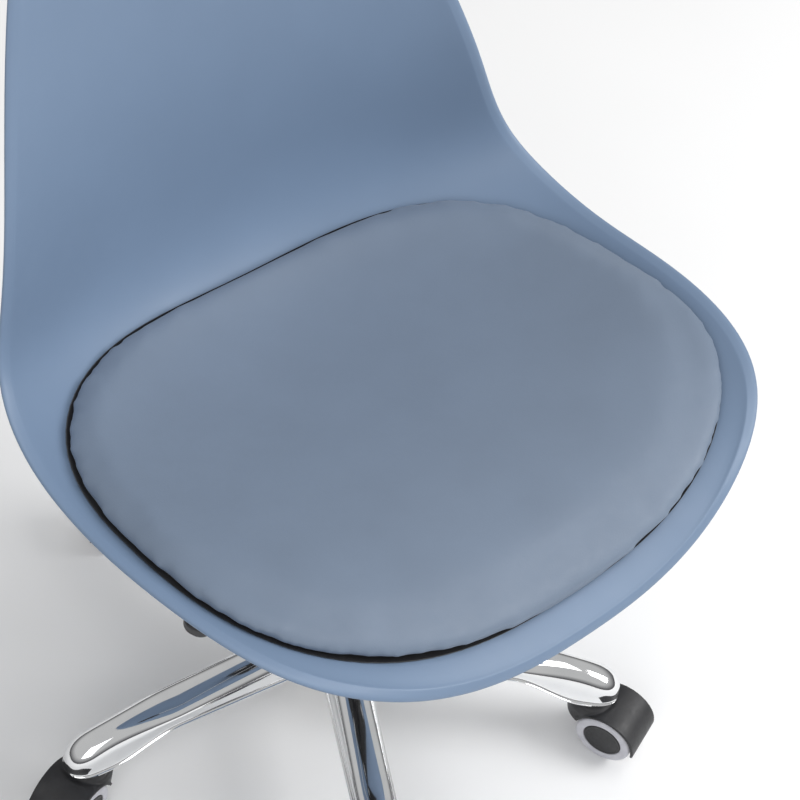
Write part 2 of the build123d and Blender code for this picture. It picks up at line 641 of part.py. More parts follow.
def make_lever_grip():
    """Flat paddle on the rod's end; modelled along +X from the rod's end, then turned."""
    grip = Box(GRIP_LENGTH, 2 * GRIP_HALF_WIDTH, 2 * GRIP_HALF_HEIGHT)
    grip = fillet(grip.edges().filter_by(Axis.Z), GRIP_HALF_WIDTH * 0.9)
    rims = grip.edges().group_by(Axis.Z)
    grip = Pos(GRIP_LENGTH / 2 - GRIP_BORE, 0, 0) * fillet(rims[-1] + rims[0], GRIP_HALF_HEIGHT * 0.5)
    grip -= Pos(-GRIP_BORE / 2, 0, 0) * Rot(0, 90, 0) * Cylinder(LEVER_RADIUS, GRIP_BORE)
    return Pos(*lever_end(LEVER_OUTER_RUN)) * Rot(0, 0, 180 + LEVER_BEND_ANGLE) * grip


# ---------------------------------------------------------------- shell
def make_seat_shell():
    skin = Solid.thicken(surface_face(on_surface), SHELL_WALL)
    low_point = shell_point(0, 0.35).Z
    if skin.bounding_box().min.Z > low_point - SHELL_WALL / 2:
        skin = Solid.thicken(surface_face(on_surface), -SHELL_WALL)
    trimmed = Part() + skin & rim_prism()
    for x, y in bolt_places():
        trimmed += Pos(x, y, 0) * disc(BOSS_RADIUS, PLATE_TOP, BOARD_Z)
    for x, y in bolt_places():
        trimmed -= Pos(x, y, 0) * disc(BOLT_RADIUS + 0.4, PLATE_TOP, BOARD_Z)
    return max(trimmed.solids(), key=lambda s: s.volume)


# ---------------------------------------------------------------- cushion
def cushion_outline(inset, bottom, height):
    """Upright prism on the cushion's rounded-square outline."""
    steps = 40
    half_width = CUSHION_HALF_WIDTH - inset
    half_depth = (CUSHION_FRONT + CUSHION_BACK) / 2 - inset
    middle = (CUSHION_BACK - CUSHION_FRONT) / 2
    power = CUSHION_CORNER_POWER
    points = []
    for i in range(steps):
        angle = 2 * pi * i / steps
        across, along = sin(angle), -cos(angle)
        radius = (abs(across / half_width) ** power + abs(along / half_depth) ** power) ** (-1 / power)
        points.append((radius * across, middle + radius * along))
    return Pos(0, 0, bottom) * extrude(make_face(Spline(*points, periodic=True)), amount=height)


def cushion_share(x, y):
    """0 at the middle of the cushion, 1 on its outline."""
    half_depth = (CUSHION_FRONT + CUSHION_BACK) / 2
    along = (y - (CUSHION_BACK - CUSHION_FRONT) / 2) / half_depth
    power = CUSHION_CORNER_POWER
    return (abs(x / CUSHION_HALF_WIDTH) ** power + abs(along) ** power) ** (1 / power)


def cushion_form(inset):
    """Cushion between the dish and its crown; inset makes the foam inside the cover."""
    tall = 120.0

    def underside(x, t):
        return CUSHION_GAP + inset

    def crown(x, t):
        share = min(cushion_share(x, shell_point(x, t).Y), 1.3)
        return CUSHION_EDGE + CUSHION_CROWN * (1 - share ** 2.4) - inset

    end = CUSHION_PROFILE_END
    above = Solid.extrude(surface_face(underside, t_end=end, rows=13), Vector(0, 0, tall))
    below = Solid.extrude(surface_face(crown, t_end=end, rows=13), Vector(0, 0, -tall))
    outline = cushion_outline(inset, DISH_Z - 20.0, 2 * tall)
    body = (Part() + above) & (Part() + below) & outline
    return max(body.solids(), key=lambda s: s.volume)


def make_board():
    board = slab(BOARD_LENGTH_X, BOARD_LENGTH_Y, BOARD_CORNER, BOARD_Z, BOARD_Z + BOARD_THICKNESS)
    for x, y in bolt_places():
        board -= Pos(x, y, 0) * disc(NUT_RADIUS, BOARD_Z, BOARD_Z + BOARD_THICKNESS)
    return board


def make_nuts():
    top = BOARD_Z + BOARD_THICKNESS
    one = ring(NUT_RADIUS, BOLT_RADIUS, BOARD_Z, top)
    one += ring(NUT_FLANGE_RADIUS, BOLT_RADIUS, top, top + NUT_FLANGE)
    return [Pos(x, y, 0) * one for x, y in bolt_places()]


def make_bolts():
    head_top = PLATE_Z - SPRING_WASHER
    shank = disc(BOLT_RADIUS, head_top, BOARD_Z + BOARD_THICKNESS)
    head = disc(BOLT_HEAD_RADIUS, head_top - BOLT_HEAD_HEIGHT, head_top)
    recess = Pos(0, 0, head_top - BOLT_HEAD_HEIGHT) * extrude(RegularPolygon(2.6, 6), amount=2.5)
    one = shank + head - recess
    return [Pos(x, y, 0) * one for x, y in bolt_places()]


def make_spring_washers():
    one = ring(BOLT_HEAD_RADIUS - 0.5, BOLT_RADIUS + 0.2, PLATE_Z - SPRING_WASHER, PLATE_Z)
    split = Box(2 * BOLT_HEAD_RADIUS, 0.8, 4 * SPRING_WASHER)
    one -= Pos(BOLT_HEAD_RADIUS, 0, PLATE_Z) * Rot(0, 20, 0) * split
    return [Pos(x, y, 0) * max(one.solids(), key=lambda s: s.volume) for x, y in bolt_places()]


def make_cushion_parts():
    """Cover skin, foam and board: each fills what the one inside it leaves."""
    outer = cushion_form(0.0)
    inner = cushion_form(CUSHION_SKIN)
    board = make_board()
    keep_out = slab(BOARD_LENGTH_X, BOARD_LENGTH_Y, BOARD_CORNER, 0, BOARD_Z + BOARD_THICKNESS)
    nuts = Part() + make_nuts()
    boss_room = Part()
    for x, y in bolt_places():
        boss_room += Pos(x, y, 0) * disc(BOSS_RADIUS + 1.0, 0, BOARD_Z)
    cover = (Part() + outer) - inner - keep_out - boss_room
    foam = (Part() + inner) - keep_out - nuts - boss_room
    return cover, foam, board


# ---------------------------------------------------------------- write every piece
def build():
    """All pieces: node name to a solid or a list of separate solids."""
    pieces = {
        "base_hub": make_hub(),
        "caster_sockets": make_sockets(),
        "caster_stems": make_stems(),
        "grip_rings": make_grip_rings(),
        "column_tube": make_column_tube(),
        "guide_bush": make_guide_bush(),
        "bearing_washers": make_bearing_washers(),
        "bearing_balls": make_bearing_balls(),
        "cover_lower": make_cover_lower(),
        "cover_middle": make_cover_middle(),
        "cover_upper": make_cover_upper(),
        "piston_rod": make_piston_rod(),
        "rod_clip": make_rod_clip(),
        "gas_cylinder": make_gas_cylinder(),
        "release_button": make_release_button(),
        "seat_plate": make_seat_plate(),
        "lever_rod": make_lever_rod(),
        "lever_grip": make_lever_grip(),
        "seat_shell": make_seat_shell(),
        "seat_bolts": make_bolts(),
        "spring_washers": make_spring_washers(),
        "t_nuts": make_nuts(),
    }
    cover, foam, board = make_cushion_parts()
    pieces["cushion_cover"] = cover
    pieces["cushion_foam"] = foam
    pieces["cushion_board"] = board

    leg = make_leg()
    hood = make_hood()
    axle = make_axle()
    for i in range(LEG_COUNT):
        name = f"caster_{i + 1}"
        place = caster_place(i)
        pieces[f"leg_{i + 1}"] = Rot(0, 0, leg_angle(i)) * leg
        pieces[f"{name}_hood"] = place * hood
        pieces[f"{name}_axle"] = place * axle
        for side, word in ((1, "left"), (-1, "right")):
            pieces[f"{name}_wheel_{word}"] = place * make_wheel(side)
            pieces[f"{name}_tread_{word}"] = place * make_tread(side)
    return pieces


def solids_of(shape):
    """Flat list of the solids in a shape or a list of shapes."""
    items = shape if isinstance(shape, list) else [shape]
    found = []
    for item in items:
        found += list(item.solids())
    return found


def main():
    os.makedirs("parts", exist_ok=True)
    for name, shape in build().items():
        solids = solids_of(shape)
        whole = solids[0] if len(solids) == 1 else Compound(children=solids)
        whole.label = name
        export_step(whole, f"parts/{name}.step")


main()
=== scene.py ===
"""Swivel office chair: visible pieces and materials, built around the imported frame.

Shapes are worked out in millimetres and written in metres. +Z up, the sitter faces -Y.
"""
import bpy
import bmesh
import json
from math import atan2, cos, degrees, pi, radians, sin
from mathutils import Matrix, Vector


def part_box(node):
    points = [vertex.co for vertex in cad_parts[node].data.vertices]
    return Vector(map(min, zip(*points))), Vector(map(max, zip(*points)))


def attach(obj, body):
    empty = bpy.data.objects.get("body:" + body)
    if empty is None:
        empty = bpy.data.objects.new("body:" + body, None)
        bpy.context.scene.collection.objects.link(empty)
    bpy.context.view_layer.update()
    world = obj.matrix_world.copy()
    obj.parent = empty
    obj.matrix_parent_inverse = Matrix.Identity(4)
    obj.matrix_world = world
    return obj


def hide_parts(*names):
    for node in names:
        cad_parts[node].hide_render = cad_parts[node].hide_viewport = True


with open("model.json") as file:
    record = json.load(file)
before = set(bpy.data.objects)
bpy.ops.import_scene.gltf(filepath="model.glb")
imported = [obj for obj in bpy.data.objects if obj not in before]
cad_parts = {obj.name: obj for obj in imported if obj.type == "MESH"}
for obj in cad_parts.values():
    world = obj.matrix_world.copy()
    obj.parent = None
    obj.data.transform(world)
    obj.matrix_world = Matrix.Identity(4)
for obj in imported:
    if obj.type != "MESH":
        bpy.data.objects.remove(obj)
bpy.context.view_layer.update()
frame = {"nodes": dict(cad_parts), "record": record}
MM = 0.001

# ---------------------------------------------------------------- sizes, in millimetres
# shell
SHELL_WIDTH = 480.0
SEAT_FRONT = 229.0
BACK_REACH = 270.0
BACK_HEIGHT = 468.0
SHELL_WALL = 5.0
BOSS_HEIGHT = 4.0
BOSS_RADIUS = 11.0
BOSS_BORE = 3.4               # radius
BOSS_FLARE = 5.0
BOSS_SINK = 1.5               # the boss reaches this far into the shell's wall
BOLT_EDGE = 6.0               # from a seat bolt's axis to its outer edge
LIP_HEIGHT = 40.0
KNEE_HEIGHT = 65.0
SHELL_CENTRE = 0.42           # place on the profile where the shell's mesh rings start
SHELL_RINGS = 26
RIM_POINTS = 168
RIM_BAND = 13.0               # the rolled lip starts this far inside the rim
PLATE_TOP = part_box("seat_plate")[1][2] / MM
DISH_Z = PLATE_TOP + BOSS_HEIGHT + SHELL_WALL

# cushion
CUSHION_HALF_WIDTH = 226.0
CUSHION_FRONT = 205.0
CUSHION_BACK = 164.0
CUSHION_CORNER_POWER = 2.7
CUSHION_GAP = 3.0
CUSHION_EDGE = 14.0
CUSHION_CROWN = 30.0
CUSHION_CROWN_POWER = 2.4
CUSHION_CORNER_REACH = 250.0  # turns a shrink in millimetres into a share of the outline
CUSHION_PROFILE_END = 0.60
CUSHION_SPOKES = 120
# the near-black panel in the gap under the cushion is painted shade
BASE_DROP = 0.4               # the dark base lies this far under the cushion
BASE_LIFT = 0.6               # and this far over the shell
SWELL_ROOM = 0.6              # how much smaller the cushion is before it swells
SWELL_VOXEL = 5.0
SWELL_PRESSURE = 2.0
SWELL_CAP = 3.0
SWELL_SMOOTHING = 14          # passes

# base
NOSE_RADIUS = 239.0
STEM_INSET = 18.5
LEG_RISE = 51.0
LEG_SLOPE = 13.0
LEG_BEND_LENGTH = 89.0
LEG_NOSE_TOP = 5.0
LEG_CURVE_POWER = 2.3
LEG_ARCH = 22.0
LEG_ARCH_LENGTH = 60.0
LEG_ARCH_START = 12.0
LEG_HALF_WIDTH = 17.0
LEG_TAPER = 2.5
LEG_NOSE_ROUND = 22.0
LEG_SHOULDER = 0.42
LEG_WALL = 1.8
LEG_FLANGE = 2.4
LEG_SECTION_POWER = 2.25
LEG_SECTION_STEPS = 12
LEG_STATIONS = 45
WELD_RADIUS = 1.5
WELD_STEPS = 28
HUB_RADIUS = 31.0
LEG_END_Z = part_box("caster_sockets")[0][2] / MM
HUB_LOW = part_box("base_hub")[0][2] / MM
HUB_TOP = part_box("base_hub")[1][2] / MM
TUBE_RADIUS = 25.0

# casters
AXLE_Z = 25.0
WHEEL_RADIUS = 25.0
TREAD_DEPTH = 8.0
TREAD_ROUND = 3.4
WHEEL_INNER_FACE = 6.0
WHEEL_OUTER_FACE = 20.0
AXLE_RADIUS = 3.0
HOOD_INNER = 26.5
HOOD_OUTER = 29.0
HOOD_HALF_WIDTH = 21.0
HOOD_WEB_HALF = 5.0
HOOD_LOW = 29.0               # the hood ends at this height
TURRET_RADIUS = 20.5          # the round back of the hood, about the stem
COLLAR_TOP = 56.0
HOOD_VOXEL = 0.8
CASTER_COUNT = 5

# edges sharper than this, in degrees, stay sharp
METAL_CREASE = 50
CAP_CREASE = 40

# studio, in metres and watts: place, size, power
SEAT_PLACE = (0.0, 0.0, 0.4)
LIGHTS = {
    "key": ((2.0, -1.7, 2.1), 1.5, 52.0),
    "fill": ((-1.8, -1.2, 1.9), 1.6, 18.0),
    "top": ((0.9, -0.4, 3.0), 1.5, 24.0),
}
FLOOR_HALF = 8.0
SKY_STRENGTH = 0.55
SKY_LOW = (0.05, (0.16, 0.16, 0.17, 1.0))
SKY_HIGH = (0.42, (1.0, 1.0, 1.0, 1.0))

# camera, in degrees, metres and millimetres of lens
CAMERA_AZIMUTH = -47.3
CAMERA_ELEVATION = 50.4
CAMERA_ROLL = 10.83
CAMERA_DISTANCE = 1.312
CAMERA_TARGET = (0.0, -0.021, 0.411)
CAMERA_LENS = 86.9
CAMERA_SENSOR = 36.0

JOINTS = {joint["name"]: joint for joint in frame["record"]["behaviour"]["joints"]}


# ---------------------------------------------------------------- the shell's form
PROFILE = [
    (-SEAT_FRONT, DISH_Z + LIP_HEIGHT),
    (-0.88 * SEAT_FRONT, DISH_Z + KNEE_HEIGHT),
    (-0.66 * SEAT_FRONT, DISH_Z + 0.8 * KNEE_HEIGHT),
    (0.0, DISH_Z),
    (0.36 * BACK_REACH, DISH_Z - 5.0),
    (0.68 * BACK_REACH, DISH_Z + 0.07 * BACK_HEIGHT),
    (0.72 * BACK_REACH, DISH_Z + 0.30 * BACK_HEIGHT),
    (0.82 * BACK_REACH, DISH_Z + 0.58 * BACK_HEIGHT),
    (0.95 * BACK_REACH, DISH_Z + 0.82 * BACK_HEIGHT),
    (BACK_REACH, DISH_Z + BACK_HEIGHT),
]
SIDE_LIFT = [20.0, 45.0, 75.0, 75.0, 80.0, 90.0, 90.0, 55.0, 30.0, 25.0]
LIFT_ANGLE = [95.0, 95.0, 90.0, 85.0, 100.0, 130.0, 150.0, 160.0, 170.0, 170.0]
LIFT_POWER = 2.2
OUTLINE = [1.0, 1.0, 1.0, 1.0, 0.92, 0.76, 0.70, 0.70]
FRONT_ROUND_END = 0.31
TOP_ROUND_START = 0.66
FRONT_POWER = 2.5
TOP_POWER = 2.7


def curve_value(values, t):
    """Clamped uniform cubic B-spline through control values, t from 0 to 1."""
    degree = 3
    spans = len(values) - degree
    position = min(max(t, 0.0), 1.0) * spans
    span = min(int(position), spans - 1)
    knots = [min(max(i - degree, 0), spans) for i in range(len(values) + degree + 1)]
    points = [values[span + i] for i in range(degree + 1)]
    for level in range(1, degree + 1):
        for j in range(degree, level - 1, -1):
            low = knots[span + j]
            share = (position - low) / (knots[span + j + degree - level + 1] - low)
            points[j] = (1 - share) * points[j - 1] + share * points[j]
    return points[degree]


def shell_point(x, t):
    lift = curve_value(SIDE_LIFT, t) * (abs(x) / (SHELL_WIDTH / 2)) ** LIFT_POWER
    angle = radians(curve_value(LIFT_ANGLE, t))
    y = curve_value([p[0] for p in PROFILE], t) + lift * cos(angle)
    z = curve_value([p[1] for p in PROFILE], t) + lift * sin(angle)
    return Vector((x, y, z))


def shell_slopes(x, t):
    step = 0.003
    low, high = max(t - step, 0.0), min(t + step, 1.0)
    along = (shell_point(x, high) - shell_point(x, low)) / (high - low)
    across = (shell_point(x + 0.5, t) - shell_point(x - 0.5, t))
    return across, along


def shell_normal(x, t):
    across, along = shell_slopes(x, t)
    return across.cross(along).normalized()


def rim_place(turn):
    front_share, top_share = 0.35, 0.65
    if turn < front_share:
        angle = turn / front_share * pi / 2
        t = FRONT_ROUND_END * (1 - cos(angle) ** (2 / FRONT_POWER))
        narrowing = sin(angle) ** (2 / FRONT_POWER)
    elif turn < top_share:
        share = (turn - front_share) / (top_share - front_share)
        t = FRONT_ROUND_END + (TOP_ROUND_START - FRONT_ROUND_END) * share
        narrowing = 1.0
    else:
        angle = min((turn - top_share) / (1 - top_share), 1.0) * pi / 2
        t = TOP_ROUND_START + (1 - TOP_ROUND_START) * sin(angle) ** (2 / TOP_POWER)
        narrowing = max(cos(angle), 0.0) ** (2 / TOP_POWER)
    return narrowing * curve_value(OUTLINE, t) * SHELL_WIDTH / 2, t


def rim_loop(count):
    """Evenly spaced (x, t) places round the whole rim, from the front middle over +X."""
    dense = [rim_place(i / 1500) for i in range(1501)]
    points = [shell_point(x, t) for x, t in dense]
    reach = [0.0]
    for first, second in zip(points, points[1:]):
        reach.append(reach[-1] + (second - first).length)
    half = []
    index = 0
    for k in range(count // 2 + 1):
        goal = reach[-1] * k / (count // 2)
        while index < len(reach) - 2 and reach[index + 1] < goal:
            index += 1
        share = (goal - reach[index]) / max(reach[index + 1] - reach[index], 1e-9)
        half.append(tuple(a + (b - a) * share for a, b in zip(dense[index], dense[index + 1])))
    return half + [(-x, t) for x, t in reversed(half[1:-1])]


def moved_inside(x, t, direction, distance):
    """Place on the shell's face that lies a distance away from (x, t) along a direction."""
    steps = 3
    for _ in range(steps):
        across, along = shell_slopes(x, t)
        aa, ab, bb = across.dot(across), across.dot(along), along.dot(along)
        pa, pb = across.dot(direction), along.dot(direction)
        scale = distance / steps / max(aa * bb - ab * ab, 1e-9)
        x += (bb * pa - ab * pb) * scale
        t += (aa * pb - ab * pa) * scale
    return x, t


# ---------------------------------------------------------------- mesh helpers
def ring_faces(rings, count, closed_tube=False):
    """Quads between successive rings of count points each."""
    faces = []
    pairs = rings if closed_tube else rings - 1
    for i in range(pairs):
        here, there = i * count, (i + 1) % rings * count
        for j in range(count):
            k = (j + 1) % count
            faces.append((here + j, here + k, there + k, there + j))
    return faces


def fan(centre, start, count):
    return [(centre, start + (j + 1) % count, start + j) for j in range(count)]


def clean_mesh(name, verts, faces):
    """A mesh in metres from points in millimetres, with its faces turned outwards."""
    mesh = bpy.data.meshes.new(name)
    mesh.from_pydata([tuple(c * MM for c in v) for v in verts], [], faces)
    bm = bmesh.new()
    bm.from_mesh(mesh)
    bmesh.ops.remove_doubles(bm, verts=bm.verts, dist=1e-6)
    bmesh.ops.recalc_face_normals(bm, faces=bm.faces)
    bm.to_mesh(mesh)
    bm.free()
    mesh.shade_smooth()
    return mesh


def rounded(points, radius, steps=4, closed=False):
    """The polyline with each corner softened over about a radius."""
    result = []
    count = len(points)
    for i, point in enumerate(points):
        if not closed and i in (0, count - 1):
            result.append(tuple(point))
            continue
        before, here, after = Vector(points[i - 1]), Vector(point), Vector(points[(i + 1) % count])
        start = here + (before - here).normalized() * min(radius, (before - here).length * 0.45)
        end = here + (after - here).normalized() * min(radius, (after - here).length * 0.45)
        for k in range(steps + 1):
            u = k / steps
            result.append(tuple((1 - u) ** 2 * start + 2 * u * (1 - u) * here + u * u * end))
    return result


def lathe(profile, segments=96, closed=False):
    """Points and faces of (radius, height) pairs turned about Z; open ends lie on the axis."""
    verts, faces = [], []
    inner = profile if closed else profile[1:-1]
    for radius, height in inner:
        for j in range(segments):
            angle = 2 * pi * j / segments
            verts.append(Vector((radius * cos(angle), radius * sin(angle), height)))
    faces += ring_faces(len(inner), segments, closed_tube=closed)
    if not closed:
        verts += [Vector((0, 0, profile[0][1])), Vector((0, 0, profile[-1][1]))]
        faces += fan(len(verts) - 2, 0, segments)
        faces += fan(len(verts) - 1, (len(inner) - 1) * segments, segments)
    return verts, faces


def add_piece(name, mesh, material, body, nodes=(), subdivisions=0):
    obj = bpy.data.objects.new(name, mesh)
    bpy.context.scene.collection.objects.link(obj)
    mesh.materials.clear()
    mesh.materials.append(material)
    if subdivisions:
        modifier = obj.modifiers.new("Subdivision", "SUBSURF")
        modifier.levels = modifier.render_levels = subdivisions
    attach(obj, body)
    if nodes:
        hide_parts(*nodes)
    return obj


def moved(verts, matrix):
    return [matrix @ v for v in verts]


def applied_mesh(obj, name):
    """The object's mesh with its modifiers in it; the object itself goes."""
    graph = bpy.context.evaluated_depsgraph_get()
    mesh = bpy.data.meshes.new_from_object(obj.evaluated_get(graph), depsgraph=graph)
    mesh.name = name
    bpy.data.objects.remove(obj)
    return mesh


def scratch_object(name, mesh):
    obj = bpy.data.objects.new(name, mesh)
    bpy.context.scene.collection.objects.link(obj)
    return obj


# ---------------------------------------------------------------- materials
class Paint:
    """A node material with a Principled shader and a few helpers."""

    def __init__(self, name, roughness=0.5, metallic=0.0, specular=0.5, **sockets):
        self.material = bpy.data.materials.new(name)
        self.material.use_nodes = True
        self.tree = self.material.node_tree
        self.shader = self.tree.nodes["Principled BSDF"]
        self.shader.inputs["Roughness"].default_value = roughness
        self.shader.inputs["Metallic"].default_value = metallic
        self.shader.inputs["Specular IOR Level"].default_value = specular
        for socket, value in sockets.items():
            self.shader.inputs[socket.replace("_", " ")].default_value = value
        self.place = self.tree.nodes.new("ShaderNodeTexCoord").outputs["Object"]
        self.last_normal = None

    def link(self, source, target):
        self.tree.links.new(source, target)

    def stretched(self, scale):
        node = self.tree.nodes.new("ShaderNodeMapping")
        node.inputs["Scale"].default_value = scale
        self.link(self.place, node.inputs["Vector"])
        return node.outputs["Vector"]

    def noise(self, scale, detail=2.0, stretch=None, distortion=0.0):
        node = self.tree.nodes.new("ShaderNodeTexNoise")
        node.inputs["Scale"].default_value = scale
        node.inputs["Detail"].default_value = detail
        node.inputs["Distortion"].default_value = distortion
        self.link(self.stretched(stretch) if stretch else self.place, node.inputs["Vector"])
        return node.outputs["Fac"]

    def cells(self, scale, feature="F1"):
        node = self.tree.nodes.new("ShaderNodeTexVoronoi")
        node.feature = feature
        node.inputs["Scale"].default_value = scale
        self.link(self.place, node.inputs["Vector"])
        return node.outputs["Distance"]

    def ramp(self, source, low, high, start=0.3, end=0.7):
        """Colour or grey that runs from low to high with the source."""
        node = self.tree.nodes.new("ShaderNodeValToRGB")
        first, second = node.color_ramp.elements
        first.position, second.position = start, end
        first.color = (*low, 1.0) if isinstance(low, tuple) else (low, low, low, 1.0)
        second.color = (*high, 1.0) if isinstance(high, tuple) else (high, high, high, 1.0)
        self.link(source, node.inputs["Fac"])
        return node.outputs["Color"]

    def colour(self, source, low, high, start=0.3, end=0.7):
        self.link(self.ramp(source, low, high, start, end), self.shader.inputs["Base Color"])

    def gloss(self, source, low, high, start=0.3, end=0.7):
        self.link(self.ramp(source, low, high, start, end), self.shader.inputs["Roughness"])

    def bump(self, source, depth_mm, strength=1.0):
        node = self.tree.nodes.new("ShaderNodeBump")
        node.inputs["Distance"].default_value = depth_mm * MM
        node.inputs["Strength"].default_value = strength
        self.link(source, node.inputs["Height"])
        if self.last_normal:
            self.link(self.last_normal, node.inputs["Normal"])
        self.last_normal = node.outputs["Normal"]
        self.link(self.last_normal, self.shader.inputs["Normal"])


def shaded(colour, factor):
    return tuple(c * factor for c in colour)


def shell_plastic():
    base = (0.170, 0.240, 0.352)
    paint = Paint("shell_plastic", specular=0.42)
    paint.colour(paint.noise(9.0, 3.0), shaded(base, 0.965), shaded(base, 1.03))
    paint.gloss(paint.noise(60.0, 4.0), 0.42, 0.50)
    paint.bump(paint.noise(1600.0, 3.0), 0.05, 0.35)
    paint.bump(paint.noise(22.0, 2.0), 0.25, 0.12)
    return paint.material


def cushion_leather():
    base = (0.160, 0.206, 0.278)
    paint = Paint("cushion_leather", specular=0.38, Sheen_Weight=0.12, Sheen_Roughness=0.5)
    paint.colour(paint.noise(14.0, 5.0), shaded(base, 0.955), shaded(base, 1.04))
    paint.gloss(paint.noise(180.0, 3.0), 0.46, 0.56)
    paint.bump(paint.cells(900.0), 0.10, 0.30)
    paint.bump(paint.noise(420.0, 4.0, distortion=0.6), 0.12, 0.22)
    paint.bump(paint.noise(26.0, 2.0), 0.6, 0.10)
    return paint.material


def chrome():
    paint = Paint("chrome", metallic=1.0)
    paint.colour(paint.noise(40.0, 3.0), (0.80, 0.81, 0.82), (0.86, 0.865, 0.87))
    paint.gloss(paint.noise(220.0, 5.0, stretch=(1.0, 1.0, 4.0)), 0.045, 0.085)
    paint.bump(paint.noise(35.0, 2.0), 0.10, 0.10)
    return paint.material


def zinc_steel():
    paint = Paint("zinc_steel", metallic=1.0)
    paint.colour(paint.noise(300.0, 4.0), (0.52, 0.53, 0.55), (0.64, 0.65, 0.66))
    paint.gloss(paint.noise(500.0, 4.0, stretch=(1.0, 1.0, 0.12)), 0.24, 0.40)
    paint.bump(paint.noise(900.0, 3.0, stretch=(1.0, 1.0, 0.2)), 0.03, 0.3)
    return paint.material


def black_steel():
    paint = Paint("black_steel", specular=0.5)
    paint.colour(paint.noise(50.0, 3.0), (0.014, 0.014, 0.015), (0.024, 0.024, 0.026))
    paint.gloss(paint.noise(260.0, 4.0), 0.36, 0.50)
    paint.bump(paint.noise(950.0, 3.0), 0.10, 0.40)
    return paint.material


def black_plastic():
    paint = Paint("black_plastic", specular=0.45)
    paint.colour(paint.noise(80.0, 4.0), (0.016, 0.016, 0.018), (0.026, 0.026, 0.028))
    paint.gloss(paint.noise(340.0, 3.0), 0.40, 0.54)
    paint.bump(paint.cells(1500.0), 0.05, 0.30)
    paint.bump(paint.noise(700.0, 3.0), 0.05, 0.25)
    return paint.material


def nylon():
    paint = Paint("nylon", specular=0.5, Subsurface_Weight=0.05)
    paint.colour(paint.noise(60.0, 3.0), (0.50, 0.49, 0.45), (0.60, 0.59, 0.55))
    paint.gloss(paint.noise(300.0, 3.0), 0.35, 0.45)
    paint.bump(paint.noise(600.0, 2.0), 0.03, 0.3)
    return paint.material


def grey_tread():
    paint = Paint("grey_tread", specular=0.40)
    paint.colour(paint.noise(120.0, 4.0), (0.50, 0.50, 0.545), (0.60, 0.60, 0.64))
    paint.gloss(paint.noise(400.0, 4.0), 0.46, 0.62)
    paint.bump(paint.noise(1100.0, 3.0), 0.05, 0.35)
    return paint.material


def foam():
    paint = Paint("foam", roughness=0.95, specular=0.1)
    paint.colour(paint.cells(450.0), (0.68, 0.64, 0.52), (0.78, 0.75, 0.64), 0.1, 0.6)
    paint.bump(paint.cells(450.0), 0.4, 0.6)
    return paint.material


def plywood():
    paint = Paint("plywood", roughness=0.7, specular=0.25)
    grain = paint.noise(30.0, 6.0, stretch=(0.35, 6.0, 6.0), distortion=0.8)
    paint.colour(grain, (0.42, 0.27, 0.13), (0.60, 0.43, 0.24))
    paint.bump(grain, 0.15, 0.4)
    return paint.material


def black_felt_and_gap_shade():
    """Near-black non-woven cloth under the cushion, darkened to paint the shade in the gap over the shell.
    """
    paint = Paint("black_felt_and_gap_shade", roughness=0.95, specular=0.08, Sheen_Weight=0.2)
    # painted shade: the near-black colour stands in for the shadow in the gap under the cushion
    paint.colour(paint.noise(900.0, 5.0), (0.006, 0.006, 0.007), (0.014, 0.014, 0.016))
    paint.bump(paint.noise(1400.0, 4.0), 0.2, 0.6)
    return paint.material


def pale_floor():
    paint = Paint("pale_floor", roughness=0.9, specular=0.1)
    paint.colour(paint.noise(3.0, 2.0), (0.90, 0.90, 0.90), (0.915, 0.915, 0.915))
    return paint.material


MATERIALS = {
    "shell_plastic": shell_plastic(),
    "cushion_leather": cushion_leather(),
    "chrome": chrome(),
    "zinc_steel": zinc_steel(),
    "black_steel": black_steel(),
    "black_plastic": black_plastic(),
    "nylon": nylon(),
    "grey_tread": grey_tread(),
    "foam": foam(),
    "plywood": plywood(),
}
GAP_SHADE_FELT = black_felt_and_gap_shade()


def paint_cad_nodes():
    """Every node that stays gets the material of its slot."""
    slots = {part["node"]: part["material_slot"] for part in frame["record"]["subparts"]}
    for name, obj in frame["nodes"].items():
        material = MATERIALS[slots[name]]
        if not obj.material_slots:
            obj.data.materials.append(material)
        for holder in obj.material_slots:
            holder.material = material


# ---------------------------------------------------------------- shell
# Rolled lip, as (outwards, up) from the rim along the shell's own directions.
LIP_SECTION = [
    (-11.9, 0.1), (-10.7, -0.2), (-9.1, -0.6), (-7.3, -1.1), (-5.7, -1.8), (-4.6, -2.7), (-4.3, -3.6),
    (-4.7, -4.4), (-5.6, -4.9), (-6.7, -5.0), (-7.7, -4.9), (-9.3, -4.9), (-12.3, -5.1),
]


def rim_frames(places):
    """Rim point, outward direction and normal at each place."""
    points = [shell_point(x, t) for x, t in places]
    result = []
    for i, (x, t) in enumerate(places):
        tangent = (points[(i + 1) % len(points)] - points[i - 1]).normalized()
        normal = shell_normal(x, t)
        outward = tangent.cross(normal).normalized()
        result.append((points[i], outward, normal))
    return result


